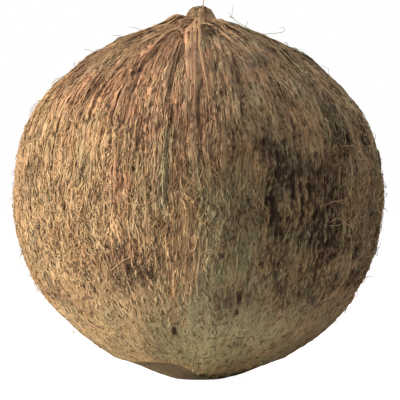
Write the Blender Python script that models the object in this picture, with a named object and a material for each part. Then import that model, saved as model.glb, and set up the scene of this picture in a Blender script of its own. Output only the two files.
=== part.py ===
"""Coconut: a whole mature nut, stripped of its husk, with the inner coat of coir left on.

It stands on a small flat spot at its blossom end. The coir is gathered upwards into a knot over
the eyes, and at the blossom end it stops short of a patch of bare shell. It grew as one piece,
so it is one solid. Units are metres, +Z is up, and the origin is the middle of the flat spot.
"""

import math

import bmesh
import bpy
from mathutils import Matrix, Vector, noise
from mathutils.geometry import interpolate_bezier

# Driving dimensions.
GIRTH_RADIUS = 0.0589  # of the shell, at the widest ring
GIRTH_HEIGHT = 0.0575
SPOT_RADIUS = 0.0080  # the flat that the nut stands on
SHOULDER_RADIUS = 0.0388  # where the body turns in towards the knot
SHOULDER_HEIGHT = 0.1010
NECK_RADIUS = 0.0056  # where the body meets the knot
NECK_HEIGHT = 0.1159
KNOT_RADIUS = 0.0042
KNOT_HEIGHT = 0.0044  # of the knot above the neck
KNOT_WIDEST = 0.4  # where the knot is widest, as a share of its height

# How far the body lies off the axis, to +X, as the nut grew a little askew.
KNOT_SHIFT = 0.0009
CROWN_SHIFT = -0.0006
CROWN_TOP = 0.1125  # above this the shift turns from the crown's to the knot's
BASE_SHIFT = 0.0012
BASE_FROM = 0.0060  # the base is off the axis between these heights
BASE_TO = 0.0120
BASE_FADE = 0.0300  # and on it again here

# Fineness of the mesh.
SEGMENTS = 96
RING_SPACING = 0.0034
RELIEF_FADE = 0.0060  # the relief fades out over this distance round the flat spot

# Relief of the coat.
LOBES = 3  # one for each carpel of the flower
LOBE_HEIGHT = 0.0004
LOBE_TURN = math.radians(80.0)
DENT_SIZE = 0.0220
DENT_DEPTH = 0.0005
GATHER_SIZE = 0.21  # size of one fold, as a share of the radius it lies at
GATHER_DEPTH = 0.0009
GATHER_LOW = 0.0600  # the folds begin at this height
GATHER_FULL = 0.1050  # and are at their deepest here

# The coat, and the patch of bare shell that it leaves round the flat spot.
COAT_THICKNESS = 0.0008
PATCH_RADIUS = 0.0262
TONGUE_LENGTH = 0.0138  # how far the coat reaches into the patch at the front
TONGUE_SPREAD = math.radians(30.0)
TONGUE_TURN = math.radians(-72.0)  # -90 degrees is the front, -Y
SCALLOP_DEPTH = 0.0010
SCALLOPS = 3.0  # how closely the scallops follow each other
COAT_EDGE = 0.0040  # width of the slope at the coat's edge

COIR_COLOUR = (0.30, 0.19, 0.10, 1.0)
COIR_ROUGHNESS = 0.9


def clear_scene():
    """Removes whatever the file held before."""
    for obj in list(bpy.data.objects):
        bpy.data.objects.remove(obj)


def smooth_step(value, low, high):
    """0 below low, 1 above high, and a smooth rise between them."""
    share = min(max((value - low) / (high - low), 0.0), 1.0)
    return share * share * (3.0 - 2.0 * share)


def outline_knots():
    """The half outline as Bezier knots, from the flat spot up to the tip of the knot.

    Each is (point, handle towards the spot, handle towards the tip), in the XZ plane.
    """
    tip_height = NECK_HEIGHT + KNOT_HEIGHT
    widest_height = NECK_HEIGHT + KNOT_WIDEST * KNOT_HEIGHT

    def knot(radius, height, before, after):
        point = Vector((radius, 0.0, height))
        return (
            point,
            point + Vector((before[0], 0.0, before[1])),
            point + Vector((after[0], 0.0, after[1])),
        )

    return [
        knot(SPOT_RADIUS, 0.0, (0.0, 0.0), (0.0038, 0.0012)),
        knot(GIRTH_RADIUS, GIRTH_HEIGHT, (0.0, -0.0438), (0.0, 0.0126)),
        knot(SHOULDER_RADIUS, SHOULDER_HEIGHT, (0.0197, -0.0162), (-0.0096, 0.0079)),
        knot(NECK_RADIUS, NECK_HEIGHT, (0.0072, -0.0007), (-0.0008, 0.0001)),
        knot(KNOT_RADIUS, widest_height, (0.0006, -0.0007), (-0.0004, 0.0012)),
        knot(0.0, tip_height, (0.0024, 0.0), (0.0, 0.0)),
    ]


def outline_points():
    """The half outline as points about RING_SPACING apart, without the flat spot's middle."""
    knots = outline_knots()
    points = [knots[0][0]]
    for (start, _, leaving), (end, arriving, _) in zip(knots, knots[1:]):
        steps = max(2, round((end - start).length / RING_SPACING))
        points += interpolate_bezier(start, leaving, arriving, end, steps + 1)[1:]
    return points


def coat_edge_radius(angle):
    """How far from the axis the coat's lower edge lies at this angle round the nut."""
    away = math.remainder(angle - TONGUE_TURN, 2.0 * math.pi)
    tongue = TONGUE_LENGTH * math.exp(-(abs(away / TONGUE_SPREAD) ** 3))
    around = Vector((math.cos(angle), math.sin(angle), 0.0))
    return PATCH_RADIUS - tongue + SCALLOP_DEPTH * noise.noise(around * SCALLOPS)


def relief(point):
    """How far the surface stands out from the smooth shell at this point of it."""
    radius = math.hypot(point.x, point.y)
    angle = math.atan2(point.y, point.x)
    around = Vector((math.cos(angle), math.sin(angle), 0.0))

    lobes = LOBE_HEIGHT * math.cos(LOBES * (angle - LOBE_TURN))
    dents = DENT_DEPTH * noise.noise(point / DENT_SIZE)

    folds = around / GATHER_SIZE + Vector((0.0, 0.0, point.z / DENT_SIZE))
    gather = smooth_step(point.z, GATHER_LOW, GATHER_FULL)
    gather *= smooth_step(radius, KNOT_RADIUS, 3.0 * NECK_RADIUS)
    gathers = GATHER_DEPTH * gather * noise.noise(folds)

    if point.z > GIRTH_HEIGHT:
        return COAT_THICKNESS + lobes + dents + gathers

    edge = coat_edge_radius(angle)
    coat = COAT_THICKNESS * smooth_step(radius, edge - COAT_EDGE, edge)
    rim = smooth_step(radius, SPOT_RADIUS, SPOT_RADIUS + RELIEF_FADE)
    return coat + rim * (lobes + dents)


def spin_body():
    """The body of revolution, closed by the flat spot below and by a pole at the tip."""
    mesh = bmesh.new()
    outline = [mesh.verts.new(point) for point in outline_points()]
    edges = [mesh.edges.new(pair) for pair in zip(outline, outline[1:])]
    bmesh.ops.spin(
        mesh,
        geom=outline + edges,
        axis=Vector((0.0, 0.0, 1.0)),
        cent=Vector((0.0, 0.0, 0.0)),
        angle=2.0 * math.pi,
        steps=SEGMENTS,
        use_merge=True,
    )
    bmesh.ops.remove_doubles(mesh, verts=mesh.verts, dist=1e-6)
    bmesh.ops.contextual_create(mesh, geom=[edge for edge in mesh.edges if edge.is_boundary])
    bmesh.ops.recalc_face_normals(mesh, faces=mesh.faces)
    return mesh


def add_relief(mesh):
    """Moves each point of the spun body out or in along its normal, by the coat's relief there."""
    mesh.normal_update()
    moves = [(vert, vert.normal * relief(vert.co)) for vert in mesh.verts]
    for vert, move in moves:
        on_spot = vert.co.z < 1e-6
        if not on_spot:
            vert.co += move


def shift(height):
    """How far the body lies off the axis, to +X, at this height."""
    base = BASE_SHIFT * smooth_step(height, 0.0, BASE_FROM)
    base *= 1.0 - smooth_step(height, BASE_TO, BASE_FADE)
    crown = CROWN_SHIFT * smooth_step(height, GIRTH_HEIGHT, SHOULDER_HEIGHT)
    knot = (KNOT_SHIFT - CROWN_SHIFT) * smooth_step(height, CROWN_TOP, NECK_HEIGHT)
    return base + crown + knot


def lean_body(mesh):
    """Sets the body askew as it grew."""
    for vert in mesh.verts:
        vert.co.x += shift(vert.co.z)


def centre_box(mesh):
    """Sets the box's middle over the origin, which the uneven relief moves a little off it."""
    middle = Vector((0.0, 0.0, 0.0))
    for axis in (0, 1):
        places = [vert.co[axis] for vert in mesh.verts]
        middle[axis] = (min(places) + max(places)) / 2.0
    bmesh.ops.transform(mesh, matrix=Matrix.Translation(-middle), verts=mesh.verts)


def coir_material():
    """Dry coir: dull, brown and rough all over."""
    material = bpy.data.materials.new("coir")
    material.use_nodes = True
    shader = material.node_tree.nodes["Principled BSDF"]
    shader.inputs["Base Color"].default_value = COIR_COLOUR
    shader.inputs["Roughness"].default_value = COIR_ROUGHNESS
    shader.inputs["Metallic"].default_value = 0.0
    return material


def make_coconut():
    """The whole nut as one closed mesh object."""
    mesh = spin_body()
    add_relief(mesh)
    lean_body(mesh)
    centre_box(mesh)
    data = bpy.data.meshes.new("coconut")
    mesh.to_mesh(data)
    mesh.free()
    data.shade_smooth()
    data.materials.append(coir_material())
    coconut = bpy.data.objects.new("coconut", data)
    bpy.context.scene.collection.objects.link(coconut)
    return coconut


clear_scene()
make_coconut()
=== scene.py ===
"""A whole mature coconut in its coat of coir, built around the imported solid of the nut.

The coat is a fine skin drawn over the solid. Thousands of separate coir strands lie on it, as they
do on the real nut: flat straps gathered into the knot, a wavy mat round the girth, and a thin felt
of short hairs underneath, where the coat ends round a patch of bare shell.
"""

import itertools
import logging
import math
from collections.abc import Sequence
from dataclasses import dataclass, field
from enum import Enum

import bpy
import numpy as np
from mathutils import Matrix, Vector, noise

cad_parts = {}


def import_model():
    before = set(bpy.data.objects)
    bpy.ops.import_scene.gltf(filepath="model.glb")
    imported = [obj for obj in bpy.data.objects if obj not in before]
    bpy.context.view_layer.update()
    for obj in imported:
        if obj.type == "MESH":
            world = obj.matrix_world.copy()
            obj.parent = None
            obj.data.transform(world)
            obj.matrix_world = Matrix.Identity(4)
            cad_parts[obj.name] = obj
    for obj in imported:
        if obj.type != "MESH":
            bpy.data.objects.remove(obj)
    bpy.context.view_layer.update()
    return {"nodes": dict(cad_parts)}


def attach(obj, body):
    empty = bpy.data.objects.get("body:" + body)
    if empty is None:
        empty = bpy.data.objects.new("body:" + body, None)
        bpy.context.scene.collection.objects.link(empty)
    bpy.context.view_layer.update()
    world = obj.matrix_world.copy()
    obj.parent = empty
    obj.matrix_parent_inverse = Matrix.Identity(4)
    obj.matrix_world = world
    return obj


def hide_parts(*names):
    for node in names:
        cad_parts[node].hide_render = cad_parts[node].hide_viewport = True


LOG = logging.getLogger("coconut")

BODY = "root"
NODE = "coconut"
TAU = 2.0 * math.pi
MM = 0.001
BAKE_MAP = "OFBake"
SCALLOPS = 3.0  # how closely the waves of the coat's edge follow each other, as on the solid
SOLID_MERGE = 1e-5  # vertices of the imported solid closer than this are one
BALL_MERGE = 1e-6  # and those of a rolled-up grid, whose rings are small at the poles
SENSOR_WIDTH = 36.0  # of the camera, in millimetres
WHITE = (1.0, 1.0, 1.0, 1.0)
MAP_MARGIN = 0.06  # left empty on each side of a strand's cell on the map
MAP_CAP = 0.02  # half the width of a strand's end there


# --------------------------------------------------------------------------------------------
# Small tools
# --------------------------------------------------------------------------------------------


def smooth_step(value: np.ndarray, low: float, high: float) -> np.ndarray:
    """A smooth rise from 0 to 1.

    Args:
        value: The numbers to ease.
        low: Where the rise begins.
        high: Where the rise ends.

    Returns:
        0 below low, 1 above high, and a smooth rise between them.
    """
    share = np.clip((value - low) / (high - low), 0.0, 1.0)
    return share * share * (3.0 - 2.0 * share)


def bell(value: np.ndarray, middle: float, width: float) -> np.ndarray:
    """1 at the middle, falling away to nothing over about twice the width on either side."""
    return np.exp(-(((value - middle) / width) ** 2))


def mm(least: float, most: float) -> tuple[float, float]:
    """A range in millimetres, as metres."""
    return least * MM, most * MM


def polar(points: np.ndarray) -> tuple[np.ndarray, np.ndarray]:
    """Each point's angle round the nut's axis, and how far from the axis it is."""
    return np.arctan2(points[..., 1], points[..., 0]), np.hypot(points[..., 0], points[..., 1])


def unit(vectors: np.ndarray) -> np.ndarray:
    """The same vectors at length 1."""
    return vectors / np.maximum(np.linalg.norm(vectors, axis=-1, keepdims=True), 1e-12)


def linear(colour: str) -> tuple[float, float, float, float]:
    """Turns an sRGB hex colour into the linear values that a shader takes.

    Args:
        colour: Such as "#B08A5E".

    Returns:
        Red, green, blue and a full alpha.
    """
    parts = [int(colour[start : start + 2], 16) / 255.0 for start in (1, 3, 5)]
    values = [part / 12.92 if part <= 0.04045 else ((part + 0.055) / 1.055) ** 2.4 for part in parts]
    return values[0], values[1], values[2], 1.0


class Ripple:
    """Smooth noise that is worked out for many points at once and is the same at each run.

    One ripple serves for several things. Each reads it at an offset of its own, such as 40.
    """

    def __init__(self, seed: int) -> None:
        """Draws the slopes at the corners of the noise's cells."""
        draw = np.random.default_rng(seed)
        self._order = draw.permutation(256)
        self._slopes = unit(draw.normal(size=(256, 3)))

    def at(self, points: np.ndarray) -> np.ndarray:
        """The noise at each point, about -1 to 1.

        Args:
            points: Any array of points, with one cell of the noise a unit across.

        Returns:
            One value for each point.
        """
        cell = np.floor(points).astype(np.int64)
        inside = points - cell
        ease = inside**3 * (inside * (inside * 6.0 - 15.0) + 10.0)
        total = np.zeros(points.shape[:-1])
        for corner in itertools.product((0, 1), repeat=3):
            place = self._order[(cell[..., 0] + corner[0]) & 255]
            place = self._order[(place + cell[..., 1] + corner[1]) & 255]
            place = self._order[(place + cell[..., 2] + corner[2]) & 255]
            slope = (self._slopes[place] * (inside - np.array(corner))).sum(-1)
            share = np.where(np.array(corner) == 1, ease, 1.0 - ease).prod(-1)
            total += share * slope
        return total * 1.7


def round_the_nut(turn: np.ndarray, height: np.ndarray, fold: float, rise: float) -> np.ndarray:
    """Points for noise that runs down the nut and meets itself behind it.

    Args:
        turn: Angles round the nut's axis.
        height: Heights of the same points.
        fold: One cell of the noise round the nut, in radians.
        rise: One cell of the noise up the nut.

    Returns:
        Points whose noise has that grain.
    """
    return np.stack([np.cos(turn) / fold, np.sin(turn) / fold, height / rise], axis=-1)


def start_piece() -> None:
    """Leaves edit mode and deselects everything, so that the next operator meets only its own."""
    if bpy.context.object is not None and bpy.context.object.mode != "OBJECT":
        bpy.ops.object.mode_set(mode="OBJECT")
    bpy.ops.object.select_all(action="DESELECT")


def select_only(piece: bpy.types.Object) -> None:
    """Makes one object the selected and active one."""
    start_piece()
    piece.select_set(True)
    bpy.context.view_layer.objects.active = piece


def read_points(mesh: bpy.types.Mesh) -> np.ndarray:
    """A mesh's vertices as rows of x, y and z."""
    points = np.empty(len(mesh.vertices) * 3, np.float32)
    mesh.vertices.foreach_get("co", points)
    return points.reshape(-1, 3).astype(float)


def write_points(mesh: bpy.types.Mesh, points: np.ndarray) -> None:
    """Moves a mesh's vertices to these rows of x, y and z."""
    mesh.vertices.foreach_set("co", points.astype(np.float32).ravel())
    mesh.update()


def write_values(mesh: bpy.types.Mesh, name: str, values: np.ndarray) -> None:
    """Stores a number, or a row of three, for each vertex. The finishes read them by name."""
    kind, key = ("FLOAT", "value") if values.ndim == 1 else ("FLOAT_VECTOR", "vector")
    layer = mesh.attributes.new(name, kind, "POINT")
    layer.data.foreach_set(key, values.astype(np.float32).ravel())


def hand_over(piece: bpy.types.Object) -> None:
    """Rides a finished piece on the nut's body and reports it."""
    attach(piece, BODY)
    LOG.info("%s: %d faces", piece.name, len(piece.data.polygons))


# --------------------------------------------------------------------------------------------
# How the coat grew: its grain, its grooves and the colours of its areas
# --------------------------------------------------------------------------------------------


class Tint(Enum):
    """What an area of the coat turns towards. The first three are places in the tints vector."""

    RED = 0
    GREEN = 1
    # Dark: old matted fibres, and painted shade in slits, pits, crevices and on the side turned from the
    # light.
    DARK = 2
    PALE = 3


@dataclass(frozen=True)
class Patch:
    """A soft-edged area of the coat with a tint of its own.

    Attributes:
        tint: What it turns towards.
        turn: Its middle, in degrees round the nut. -90 is the front.
        height: The height of its middle, in millimetres.
        wide: Half its width, in millimetres.
        tall: Half its height, in millimetres.
        strength: How strong the tint is in its middle.
    """

    tint: Tint
    turn: float
    height: float
    wide: float
    tall: float
    strength: float

    def share(self, turn: np.ndarray, radius: np.ndarray, height: np.ndarray) -> np.ndarray:
        """How strongly the patch tints each point."""
        away = (turn - math.radians(self.turn) + math.pi) % TAU - math.pi
        across = away * radius / (self.wide * MM)
        up = (height - self.height * MM) / (self.tall * MM)
        return self.strength * np.exp(-(across**2) - up**2)


def patches_of(tint: Tint, *rows: tuple[float, float, float, float, float]) -> tuple[Patch, ...]:
    """Patches of one tint. A row holds a patch's turn, height, half width, half height, strength."""
    return tuple(Patch(tint, *row) for row in rows)


@dataclass
class Growth:
    """How the coat grew. All the strands and the skin under them follow it.

    Attributes:
        centre: The height of the point that the nut is round about.
        girth: The nut's radius, about, seen from that point.
        wander: How far the grain swings round the nut at the girth, in radians.
        groove_fold: One cell of the grooves' noise round the nut, in radians.
        patch_radius: How far from the axis the coat ends, round the flat spot.
        tongue_length: How far the coat reaches into the bare patch at the front.
        tongue_turn: Where it does so.
        tongue_spread: How wide that tongue is, in radians.
        scallop: How far the coat's edge waves in and out.
        painted_shade_turn: The middle of the side turned from the light, which is painted darker and
            greener as shade.
        straight_turn: Where the grain runs straightest, and furthest down.
        heap: How high the coir is heaped up left of the knot.
        sag: How much lower it lies further out.
        patches: The areas with a tint of their own.
    """

    centre: float = 57.5 * MM
    girth: float = 59.0 * MM
    wander: float = 0.030
    groove_fold: float = 0.115
    patch_radius: float = 26.2 * MM
    tongue_length: float = 13.8 * MM
    tongue_turn: float = math.radians(-76.0)
    tongue_spread: float = math.radians(25.0)
    scallop: float = 1.0 * MM
    painted_shade_turn: float = math.radians(-30.0)
    straight_turn: float = math.radians(-76.0)
    heap: float = 1.9 * MM
    sag: float = 0.7 * MM
    patches: tuple[Patch, ...] = (
        # Pale grey-green streaks down the front.
        *patches_of(
            Tint.GREEN,
            (-86, 30, 4, 22, 1.1), (-93, 16, 12, 9, 0.9), (-76, 14, 14, 9, 0.6), (-100, 65, 1.5, 13, 1),
            (-79, 45, 7, 20, 0.4), (-52, 22, 20, 14, 0.35),
        ),
        # Where the coat has bleached.
        *patches_of(
            Tint.PALE,
            (-88, 14, 9, 10, 0.4), (-66, 12, 16, 9, 0.34), (-112, 8, 14, 7, 0.25),
            (-86, 36, 2.5, 22, 0.3), (-93, 48, 1.2, 14, 0.2), (-150, 44, 16, 18, 0.12),
            (-130, 84, 14, 14, 0.14), (-104, 94, 16, 12, 0.12),
        ),
        # Reddish shoulders and streaks.
        *patches_of(
            Tint.RED,
            (-138, 94, 14, 8, 1), (-112, 90, 12, 16, 0.6), (-94, 88, 12, 24, 0.7),
            (-113, 61, 4, 9, 0.7), (-112, 40, 8, 7, 0.6), (-86, 62, 5, 12, 0.5), (-64, 96, 14, 10, 0.5),
            (-28, 38, 5, 14, 0.6),
        ),
        # Slits and hollows where the mat has come away, right of the front, with painted shade in them.
        *patches_of(
            Tint.DARK,
            (-68.5, 60, 1.8, 7, 0.8), (-67.6, 57, 1.5, 2.6, 1.5), (-66.6, 51.5, 1.3, 1.6, 1.5),
            (-66, 47.3, 1.3, 1.8, 1.5), (-65.2, 67, 0.8, 4.6, 1.4), (-61.6, 61, 1.1, 4.2, 1.4),
            (-58.6, 61, 0.6, 12, 1.3), (-56, 62, 0.6, 3.6, 1.2), (-70.8, 73, 1.1, 1.2, 1.4),
            (-69.8, 75, 0.9, 1, 1.2), (-46, 58, 0.6, 7, 1.2), (-42.6, 60, 0.6, 5, 1.1),
            (-36, 77, 1.2, 1.6, 1.4), (-32, 76, 1.4, 1.8, 1.4), (-26, 75, 1.2, 3, 1),
            (-29, 33, 1.4, 2, 1.3), (-33, 42, 1.2, 1.8, 1.2), (-75.8, 26, 0.5, 4.6, 1.3),
            (-100, 17.5, 0.8, 1.4, 1.2), (-56, 58, 15, 20, 0.36), (-48, 36, 22, 16, 0.34),
            (-39, 86, 4, 6, 0.4),
        ),
        # Pits left of the front, with painted shade in them.
        *patches_of(
            Tint.DARK,
            (-133.3, 55.6, 0.6, 1.6, 1.2), (-146.8, 48.8, 0.7, 0.9, 1.1), (-131, 47, 1, 1.6, 1),
            (-109, 38, 5, 7, 0.25), (-104, 33, 4, 6, 0.2),
        ),
        # Left of the front the coat is bleached half way up, and dull low down.
        *patches_of(Tint.PALE, (-117, 60, 10, 25, 0.13), (-108, 17, 15, 7, -0.15)),
        # Painted shade in the crevices beside the knot.
        *patches_of(
            Tint.DARK,
            (-151, 114, 0.7, 2, 1.1), (-144, 110.5, 0.6, 2, 1), (-76, 112.2, 1.8, 0.8, 1.1),
            (-57, 109.6, 1.6, 0.6, 0.9),
        ),
        # Painted shade on the bare shell right of the tongue, which is turned from the light, and a dark
        # spot on the tongue's tip.
        *patches_of(Tint.DARK, (-40, 1.5, 9, 2.4, 1.1), (-86, 2, 1.6, 0.8, 1.2)),
        # The sides and the back.
        *patches_of(Tint.RED, (20, 72, 20, 18, 0.5), (150, 88, 18, 12, 0.6)),
        *patches_of(Tint.GREEN, (60, 32, 10, 20, 0.7), (165, 60, 3, 20, 0.6)),
        *patches_of(Tint.DARK, (112, 58, 10, 18, 0.5), (10, 44, 5, 12, 0.5)),
    )
    _swing: Ripple = field(default_factory=lambda: Ripple(3))
    _groove: Ripple = field(default_factory=lambda: Ripple(5))
    _break: Ripple = field(default_factory=lambda: Ripple(8))
    _blotch: Ripple = field(default_factory=lambda: Ripple(13))

    def swing(self, label: np.ndarray, height: np.ndarray) -> np.ndarray:
        """How far the grain has swung round the nut.

        Args:
            label: The angle at which a strand leaves the knot.
            height: The heights of its points.

        Returns:
            The angle to add to the label at each of those heights.
        """
        free = 0.25 + 0.75 * smooth_step(-height, -92 * MM, -72 * MM)
        broad = self._swing.at(round_the_nut(label, height, 0.30, 22 * MM))
        near = self._swing.at(round_the_nut(label, height, 0.14, 9 * MM) + 40.0)
        return self.wander * free * (0.8 * broad + 0.45 * near)

    def straightness(self, label: np.ndarray) -> np.ndarray:
        """How straight the grain runs down the nut, from 0 to 1. It does so right of the front."""
        return smooth_step(np.cos(label - self.straight_turn), 0.62, 0.93)

    def swirl(self, label: np.ndarray, height: np.ndarray) -> np.ndarray:
        """How loosely the coir lies: 0.5 in a lock, 1.7 in a tangle, less where it is drawn up."""
        clump = self._swing.at(round_the_nut(label, height, 0.16, 11 * MM) + 110.0)
        drawn = smooth_step(height, 72 * MM, 94 * MM)
        return (0.5 + 1.2 * smooth_step(clump, -0.3, 0.5)) * (1.0 - 0.7 * drawn)

    def heading(self, label: np.ndarray, height: np.ndarray) -> np.ndarray:
        """Which way the tangles lean at each point, from about -2 to 2."""
        return 2.6 * self._swing.at(round_the_nut(label, height, 0.14, 8 * MM) + 140.0)

    def grooves(self, label: np.ndarray, height: np.ndarray) -> np.ndarray:
        """How deep in a groove each point lies, from 0 to 1. The grooves run down the grain."""
        wide = self._groove.at(round_the_nut(label, height, self.groove_fold, 34 * MM))
        thin = self._groove.at(round_the_nut(label, height, self.groove_fold * 0.5, 16 * MM) + 60.0)
        gap = self._break.at(round_the_nut(label, height, 0.2, 9 * MM))
        major = bell(wide, 0.0, 0.055) * smooth_step(gap, -0.5, -0.1)
        minor = bell(thin, 0.0, 0.065) * smooth_step(gap, 0.0, 0.4)
        low = 60 * MM - 36 * MM * self.straightness(label)
        reach = smooth_step(height, low, low + 24 * MM)
        high = smooth_step(height, 60 * MM, 84 * MM)
        return np.maximum(major, minor) * reach * (0.3 + 0.7 * high)

    def swell(self, points: np.ndarray) -> np.ndarray:
        """How far the coir stands out: it is heaped up left of the knot and lies flat round it."""
        turn, radius = polar(points)
        left = smooth_step(-np.cos(turn), 0.45, 0.95)
        heap = self.heap * left * bell(radius, 6.8 * MM, 4.2 * MM)
        sag = self.sag * bell(radius, 20 * MM, 10 * MM)
        return np.where(points[..., 2] > self.centre, heap - sag, 0.0)

    def tints(self, points: np.ndarray) -> np.ndarray:
        """How red, green and dark the coat is at each point, from 0 to 1. Dark and green are partly
        painted shade.
        """
        turn, radius = polar(points)
        height = points[..., 2]
        found = np.zeros(points.shape)
        for patch in self.patches:
            if patch.tint is not Tint.PALE:
                found[..., patch.tint.value] += patch.share(turn, radius, height)
        broken = self._blotch.at(round_the_nut(turn, height, 0.024, 4 * MM))
        found *= 1.0 + 0.8 * broken[..., None]
        frayed = self._blotch.at(round_the_nut(turn, height, 0.014, 2.4 * MM) + 33.0)
        red, green, dark = Tint.RED.value, Tint.GREEN.value, Tint.DARK.value
        found[..., dark] *= 0.2 + 1.15 * smooth_step(frayed, -0.35, 0.35)
        for part in (red, green, dark):
            found[..., part] += 0.42 * self._blotch.at(points / (11 * MM) + 17.0 * part)
        # Hollows in the mat, darkened as painted shade; the coat also sinks wherever it is tinted dark.
        hollow = self._blotch.at(round_the_nut(turn, height, 0.020, 3 * MM) + 70.0)
        above = smooth_step(height, 26 * MM, 40 * MM)
        found[..., dark] += 0.6 * smooth_step(hollow, 0.50, 0.85) * above
        # Painted shade: the side turned from the light is made darker and greener.
        painted_shade = smooth_step(np.cos(turn - self.painted_shade_turn), 0.2, 0.9)
        found[..., dark] += 0.10 * painted_shade * above
        found[..., green] += 0.40 * painted_shade * above
        found[..., red] += 0.20 * smooth_step(height, 62 * MM, 96 * MM)
        found[..., green] += 0.30 * smooth_step(-height, -40 * MM, -14 * MM)
        return np.clip(found, 0.0, 1.0)

    def lightness(self, points: np.ndarray) -> np.ndarray:
        """How much lighter or darker the coir has weathered at each point. 1 is its own colour."""
        turn, radius = polar(points)
        height = points[..., 2]
        lock = self._blotch.at(round_the_nut(turn, height, 0.05, 13 * MM) + 90.0)
        bleached = 0.10 * smooth_step(-height, -30 * MM, -8 * MM)
        for patch in self.patches:
            if patch.tint is Tint.PALE:
                bleached += patch.share(turn, radius, height)
        return 1.0 + bleached + 0.16 * self._blotch.at(points / (9 * MM) + 120.0) + 0.15 * lock

    def coat_edge(self, turn: np.ndarray) -> np.ndarray:
        """How far from the axis the coat's lower edge lies at each angle round the nut."""
        away = (turn - self.tongue_turn + math.pi) % TAU - math.pi
        tongue = self.tongue_length * np.exp(-(np.abs(away / self.tongue_spread) ** 3))
        around = [Vector((math.cos(angle), math.sin(angle), 0.0)) for angle in turn.ravel()]
        waves = np.array([noise.noise(place * SCALLOPS) for place in around])
        return self.patch_radius - tongue + self.scallop * waves.reshape(turn.shape)


# --------------------------------------------------------------------------------------------
# Finishes
# --------------------------------------------------------------------------------------------

Tree = bpy.types.NodeTree
Socket = bpy.types.NodeSocket


def add_node(
    tree: Tree,
    kind: str,
    links: dict[str | int, Socket | float | tuple] | None = None,
    **settings: object,
) -> bpy.types.Node:
    """Adds one shader node.

    Args:
        tree: The material's node tree.
        kind: The node's type, such as "ShaderNodeMix".
        links: For each input, by name or place, the socket that feeds it or its value.
        **settings: The node's own settings.

    Returns:
        The new node.
    """
    node = tree.nodes.new(kind)
    for name, value in settings.items():
        setattr(node, name, value)
    for name, value in (links or {}).items():
        if isinstance(value, Socket):
            tree.links.new(value, node.inputs[name])
        else:
            node.inputs[name].default_value = value
    return node


def empty_material(name: str) -> tuple[bpy.types.Material, Tree]:
    """A new material with no nodes in it."""
    material = bpy.data.materials.new(name)
    material.use_nodes = True
    material.node_tree.nodes.clear()
    return material, material.node_tree


def stored(tree: Tree, name: str, output: str = "Fac") -> Socket:
    """Adds a node that reads what the meshes store under a name."""
    return add_node(tree, "ShaderNodeAttribute", attribute_name=name).outputs[output]


def mixed(tree: Tree, share: Socket, first: Socket | tuple, second: Socket | tuple) -> Socket:
    """Adds a node that mixes two colours."""
    links = {0: share, 6: first, 7: second}
    return add_node(tree, "ShaderNodeMix", links, data_type="RGBA").outputs[2]


def lit(tree: Tree, colour: Socket | tuple, value: Socket) -> Socket:
    """Adds a node that multiplies how light a colour is."""
    return add_node(tree, "ShaderNodeHueSaturation", {"Color": colour, "Value": value}).outputs["Color"]


def ranged(
    tree: Tree, value: Socket, least: float, most: float, low: float = 0.0, high: float = 1.0
) -> Socket:
    """Adds a node that takes a number from one range to another.

    Args:
        tree: The material's node tree.
        value: The number.
        least: What it becomes at low and below.
        most: What it becomes at high and above.
        low: Where its range begins.
        high: Where its range ends.

    Returns:
        The new number's socket.
    """
    ends = {"From Min": low, "From Max": high, "To Min": least, "To Max": most}
    return add_node(tree, "ShaderNodeMapRange", {"Value": value, **ends}).outputs["Result"]


def calculate(tree: Tree, operation: str, *inputs: Socket | float) -> Socket:
    """Adds a node for one step of arithmetic."""
    return add_node(tree, "ShaderNodeMath", dict(enumerate(inputs)), operation=operation).outputs[0]


def calculate_vector(tree: Tree, operation: str, *inputs: Socket | tuple) -> Socket:
    """Adds a node for one step of vector arithmetic."""
    node = add_node(tree, "ShaderNodeVectorMath", dict(enumerate(inputs)), operation=operation)
    return node.outputs[0]


def add_surface(
    tree: Tree, colour: Socket, rough: Socket, relief: Socket, bump: tuple[float, float], shine: float
) -> None:
    """Ends a material with its bumps, its shader and its output.

    Args:
        tree: The material's node tree.
        colour: Its colour.
        rough: Its roughness.
        relief: Its relief, from 0 to 1.
        bump: How strong the bumps are, and how deep.
        shine: How much it reflects head on. 0.5 is usual.
    """
    links = {"Height": relief, "Strength": bump[0], "Distance": bump[1]}
    normal = add_node(tree, "ShaderNodeBump", links).outputs["Normal"]
    links = {"Base Color": colour, "Roughness": rough, "Normal": normal, "Specular IOR Level": shine}
    shader = add_node(tree, "ShaderNodeBsdfPrincipled", links)
    add_node(tree, "ShaderNodeOutputMaterial", {"Surface": shader.outputs[0]})


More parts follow.
